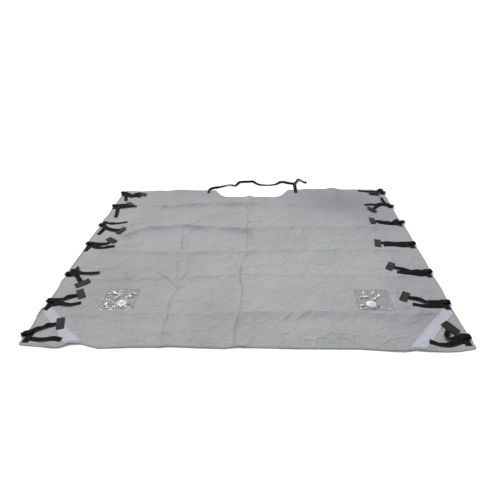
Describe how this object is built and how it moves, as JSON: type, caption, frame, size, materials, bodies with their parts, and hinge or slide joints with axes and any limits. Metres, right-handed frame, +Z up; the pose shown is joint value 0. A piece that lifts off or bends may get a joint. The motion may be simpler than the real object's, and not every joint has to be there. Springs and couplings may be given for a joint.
{
  "type": "rescue cover sheet",
  "caption": "Flat coated-fabric rescue sheet with a neck cut-out and strap, paired webbing ties down both sides, reflective corner bands and clear patches with suction cups.",
  "frame": {"origin": "centre of the sheet's underside, on the floor it lies on", "axes": "+X right along the long side, +Y towards the edge with the neck cut-out, +Z up out of the sheet"},
  "size_m": [2.5082, 2.2519, 0.019],
  "materials": {
    "coated_fabric": "matte coated woven fabric, light neutral grey",
    "webbing": "ribbed black polyester webbing",
    "hook_tape": "black hook tape with a sewn border",
    "reflective_tape": "pale silver reflective tape",
    "clear_film": "clear soft plastic film",
    "clear_cup": "clear moulded soft plastic",
    "buckle_plastic": "moulded black plastic"
  },
  "bodies": {
    "sheet": {"sheet_panel": "coated_fabric", "edge_hem": "coated_fabric", "neck_roots": "webbing", "reflective_band_left": "reflective_tape", "clear_film_left": "clear_film", "suction_cup_left": "clear_cup", "tie_roots_left": "webbing", "tie_patches_left": "webbing", "reflective_band_right": "reflective_tape", "clear_film_right": "clear_film", "suction_cup_right": "clear_cup", "tie_roots_right": "webbing", "tie_patches_right": "webbing"},
    "hook_left_1": {"hook_strap_left_1": "webbing", "hook_pad_left_1": "hook_tape"},
    "loop_left_1": {"loop_strap_left_1": "webbing"},
    "hook_left_2": {"hook_strap_left_2": "webbing", "hook_pad_left_2": "hook_tape"},
    "loop_left_2": {"loop_strap_left_2": "webbing"},
    "hook_left_3": {"hook_strap_left_3": "webbing", "hook_pad_left_3": "hook_tape"},
    "loop_left_3": {"loop_strap_left_3": "webbing"},
    "hook_left_4": {"hook_strap_left_4": "webbing", "hook_pad_left_4": "hook_tape"},
    "loop_left_4": {"loop_strap_left_4": "webbing"},
    "hook_left_5": {"hook_strap_left_5": "webbing", "hook_pad_left_5": "hook_tape"},
    "loop_left_5": {"loop_strap_left_5": "webbing"},
    "hook_left_6": {"hook_strap_left_6": "webbing", "hook_pad_left_6": "hook_tape"},
    "loop_left_6": {"loop_strap_left_6": "webbing"},
    "hook_left_7": {"hook_strap_left_7": "webbing", "hook_pad_left_7": "hook_tape"},
    "loop_left_7": {"loop_strap_left_7": "webbing"},
    "hook_right_1": {"hook_strap_right_1": "webbing", "hook_pad_right_1": "hook_tape"},
    "loop_right_1": {"loop_strap_right_1": "webbing"},
    "hook_right_2": {"hook_strap_right_2": "webbing", "hook_pad_right_2": "hook_tape"},
    "loop_right_2": {"loop_strap_right_2": "webbing"},
    "hook_right_3": {"hook_strap_right_3": "webbing", "hook_pad_right_3": "hook_tape"},
    "loop_right_3": {"loop_strap_right_3": "webbing"},
    "hook_right_4": {"hook_strap_right_4": "webbing", "hook_pad_right_4": "hook_tape"},
    "loop_right_4": {"loop_strap_right_4": "webbing"},
    "hook_right_5": {"hook_strap_right_5": "webbing", "hook_pad_right_5": "hook_tape"},
    "loop_right_5": {"loop_strap_right_5": "webbing"},
    "hook_right_6": {"hook_strap_right_6": "webbing", "hook_pad_right_6": "hook_tape"},
    "loop_right_6": {"loop_strap_right_6": "webbing"},
    "hook_right_7": {"hook_strap_right_7": "webbing", "hook_pad_right_7": "hook_tape"},
    "loop_right_7": {"loop_strap_right_7": "webbing"},
    "neck": {"neck_tab": "webbing", "neck_strap": "webbing", "neck_buckle": "buckle_plastic"}
  },
  "joints": [
    {"name": "hook_left_1_lift", "type": "hinge", "parent": "sheet", "child": "hook_left_1", "pos_m": [-1.244, 0.948, 0.00945], "axis": [-0.0523, -0.9986, 0], "range_deg": [0, 160]},
    {"name": "loop_left_1_lift", "type": "hinge", "parent": "sheet", "child": "loop_left_1", "pos_m": [-1.188, 0.912, 0.00205], "axis": [-0.1736, -0.9848, 0], "range_deg": [0, 150]},
    {"name": "hook_left_2_lift", "type": "hinge", "parent": "sheet", "child": "hook_left_2", "pos_m": [-1.244, 0.67311, 0.00945], "axis": [0.0698, -0.9976, 0], "range_deg": [0, 160]},
    {"name": "loop_left_2_lift", "type": "hinge", "parent": "sheet", "child": "loop_left_2", "pos_m": [-1.188, 0.63711, 0.00205], "axis": [0, -1, 0], "range_deg": [0, 150]},
    {"name": "hook_left_3_lift", "type": "hinge", "parent": "sheet", "child": "hook_left_3", "pos_m": [-1.244, 0.32295, 0.00945], "axis": [-0.1736, -0.9848, 0], "range_deg": [0, 160]},
    {"name": "loop_left_3_lift", "type": "hinge", "parent": "sheet", "child": "loop_left_3", "pos_m": [-1.188, 0.35895, 0.00205], "axis": [0.0175, -0.9998, 0], "range_deg": [0, 150]},
    {"name": "hook_left_4_lift", "type": "hinge", "parent": "sheet", "child": "hook_left_4", "pos_m": [-1.244, 0.03731, 0.00945], "axis": [-0.0872, -0.9962, 0], "range_deg": [0, 160]},
    {"name": "loop_left_4_lift", "type": "hinge", "parent": "sheet", "child": "loop_left_4", "pos_m": [-1.188, 0.00131, 0.00205], "axis": [-0.2079, -0.9781, 0], "range_deg": [0, 150]},
    {"name": "hook_left_5_lift", "type": "hinge", "parent": "sheet", "child": "hook_left_5", "pos_m": [-1.244, -0.35212, 0.00945], "axis": [-0.225, -0.9744, 0], "range_deg": [0, 160]},
    {"name": "loop_left_5_lift", "type": "hinge", "parent": "sheet", "child": "loop_left_5", "pos_m": [-1.188, -0.31612, 0.00205], "axis": [-0.0698, -0.9976, 0], "range_deg": [0, 150]},
    {"name": "hook_left_6_lift", "type": "hinge", "parent": "sheet", "child": "hook_left_6", "pos_m": [-1.244, -0.63402, 0.00945], "axis": [0.2079, -0.9781, 0], "range_deg": [0, 160]},
    {"name": "loop_left_6_lift", "type": "hinge", "parent": "sheet", "child": "loop_left_6", "pos_m": [-1.188, -0.67002, 0.00205], "axis": [-0.0349, -0.9994, 0], "range_deg": [0, 150]},
    {"name": "hook_left_7_lift", "type": "hinge", "parent": "sheet", "child": "hook_left_7", "pos_m": [-1.244, -0.922, 0.00945], "axis": [0.225, -0.9744, 0], "range_deg": [0, 160]},
    {"name": "loop_left_7_lift", "type": "hinge", "parent": "sheet", "child": "loop_left_7", "pos_m": [-1.188, -0.958, 0.00205], "axis": [-0.0349, -0.9994, 0], "range_deg": [0, 150]},
    {"name": "hook_right_1_lift", "type": "hinge", "parent": "sheet", "child": "hook_right_1", "pos_m": [1.244, 0.912, 0.00945], "axis": [-0.0698, 0.9976, 0], "range_deg": [0, 160]},
    {"name": "loop_right_1_lift", "type": "hinge", "parent": "sheet", "child": "loop_right_1", "pos_m": [1.188, 0.948, 0.00205], "axis": [0.1045, 0.9945, 0], "range_deg": [0, 150]},
    {"name": "hook_right_2_lift", "type": "hinge", "parent": "sheet", "child": "hook_right_2", "pos_m": [1.244, 0.63711, 0.00945], "axis": [-0.0349, 0.9994, 0], "range_deg": [0, 160]},
    {"name": "loop_right_2_lift", "type": "hinge", "parent": "sheet", "child": "loop_right_2", "pos_m": [1.188, 0.67311, 0.00205], "axis": [0, 1, 0], "range_deg": [0, 150]},
    {"name": "hook_right_3_lift", "type": "hinge", "parent": "sheet", "child": "hook_right_3", "pos_m": [1.244, 0.35895, 0.00945], "axis": [0, 1, 0], "range_deg": [0, 160]},
    {"name": "loop_right_3_lift", "type": "hinge", "parent": "sheet", "child": "loop_right_3", "pos_m": [1.188, 0.32295, 0.00205], "axis": [0, 1, 0], "range_deg": [0, 150]},
    {"name": "hook_right_4_lift", "type": "hinge", "parent": "sheet", "child": "hook_right_4", "pos_m": [1.244, 0.03731, 0.00945], "axis": [0.0349, 0.9994, 0], "range_deg": [0, 160]},
    {"name": "loop_right_4_lift", "type": "hinge", "parent": "sheet", "child": "loop_right_4", "pos_m": [1.188, 0.00131, 0.00205], "axis": [0.0349, 0.9994, 0], "range_deg": [0, 150]},
    {"name": "hook_right_5_lift", "type": "hinge", "parent": "sheet", "child": "hook_right_5", "pos_m": [1.244, -0.31612, 0.00945], "axis": [0.1045, 0.9945, 0], "range_deg": [0, 160]},
    {"name": "loop_right_5_lift", "type": "hinge", "parent": "sheet", "child": "loop_right_5", "pos_m": [1.188, -0.35212, 0.00205], "axis": [0.0698, 0.9976, 0], "range_deg": [0, 150]},
    {"name": "hook_right_6_lift", "type": "hinge", "parent": "sheet", "child": "hook_right_6", "pos_m": [1.244, -0.63402, 0.00945], "axis": [0.0698, 0.9976, 0], "range_deg": [0, 160]},
    {"name": "loop_right_6_lift", "type": "hinge", "parent": "sheet", "child": "loop_right_6", "pos_m": [1.188, -0.67002, 0.00205], "axis": [-0.0175, 0.9998, 0], "range_deg": [0, 150]},
    {"name": "hook_right_7_lift", "type": "hinge", "parent": "sheet", "child": "hook_right_7", "pos_m": [1.244, -0.922, 0.00945], "axis": [0, 1, 0], "range_deg": [0, 160]},
    {"name": "loop_right_7_lift", "type": "hinge", "parent": "sheet", "child": "loop_right_7", "pos_m": [1.188, -0.958, 0.00205], "axis": [-0.1392, 0.9903, 0], "range_deg": [0, 150]},
    {"name": "neck_strap_swing", "type": "hinge", "parent": "sheet", "child": "neck", "pos_m": [0, 0.984, 0.00245], "axis": [1, 0, 0], "range_deg": [0, 160]}
  ]
}
